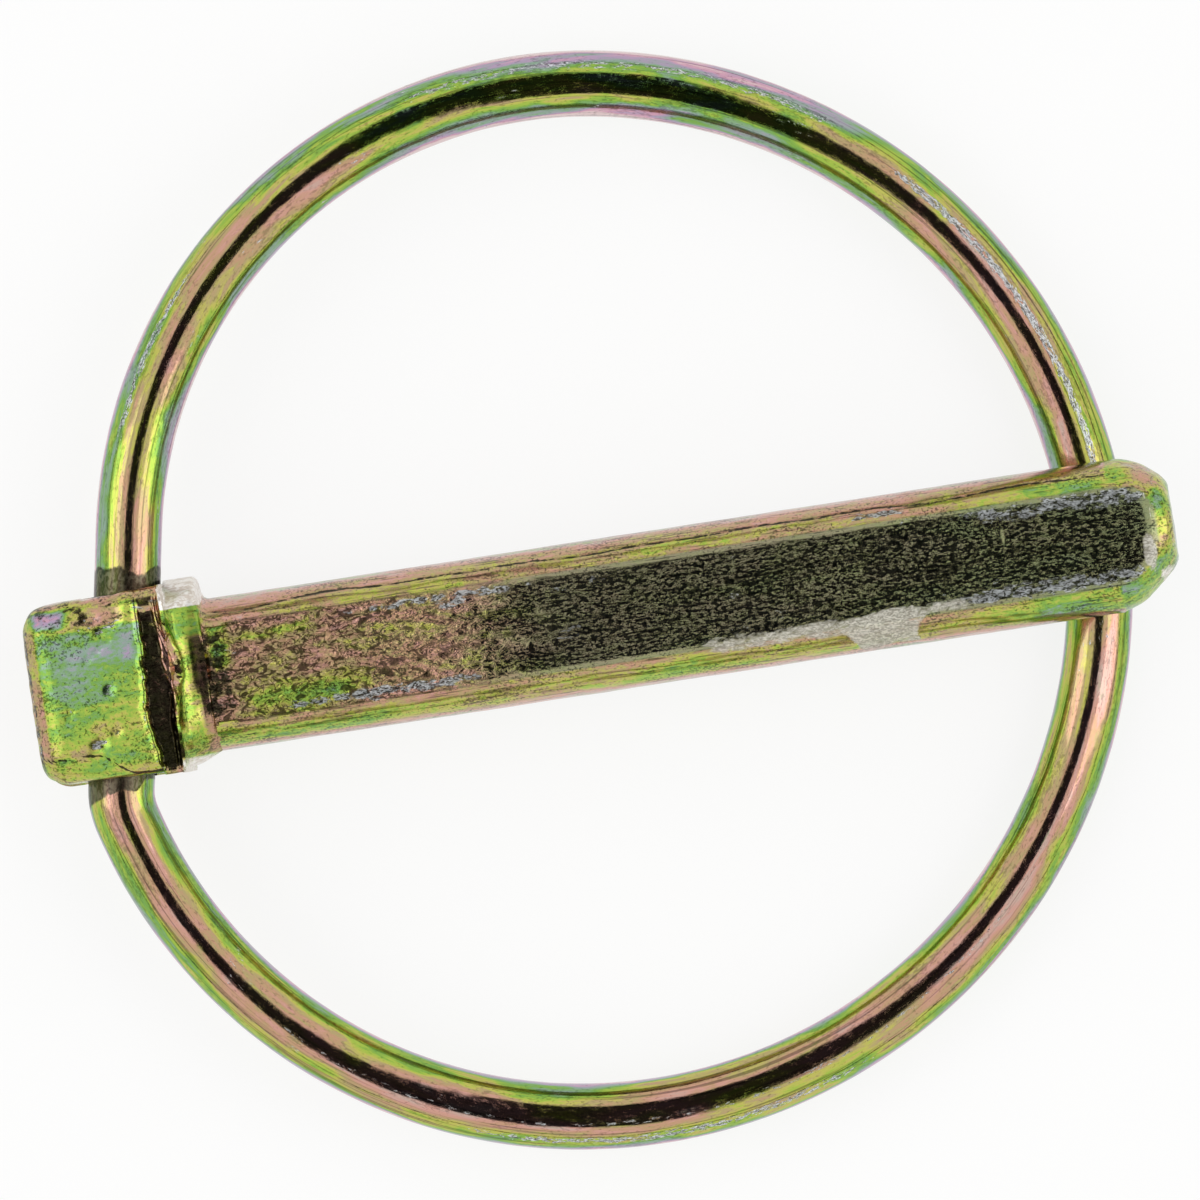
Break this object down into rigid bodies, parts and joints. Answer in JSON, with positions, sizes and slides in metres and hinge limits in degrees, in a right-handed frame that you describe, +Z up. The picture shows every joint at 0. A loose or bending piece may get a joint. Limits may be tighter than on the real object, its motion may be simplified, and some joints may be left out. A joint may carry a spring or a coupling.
{
  "type": "wheel lock pin",
  "caption": "Forged wheel lock pin with a flat-sided shank, a block head and a round spring-wire ring that snaps over the tip to keep the pin in its hole.",
  "frame": {"origin": "middle of the collar's shoulder, on the axis of the shank", "axes": "+X towards the tip as the pin lies on a table, +Z up from the table, +Y to the upper half of the ring; the shank's own axis rises 2.91 degrees from +X towards +Z because the closed ring lies under it"},
  "size_m": [0.0602, 0.0572, 0.0104],
  "materials": {
    "plated_forging": "yellow passivated zinc plating, iridescent, worn and grainy on the flats",
    "plated_wire": "yellow passivated zinc plating, iridescent, drawn lengthwise"
  },
  "bodies": {
    "pin": {"lock_pin": "plated_forging"},
    "ring": {"spring_ring": "plated_wire"}
  },
  "joints": [
    {"name": "ring_hinge", "type": "hinge", "parent": "pin", "child": "ring", "pos_m": [-0.00464, 0, -0.00024], "axis": [0.1803, 0.9836, 0.0092], "range_deg": [0, 348]}
  ]
}
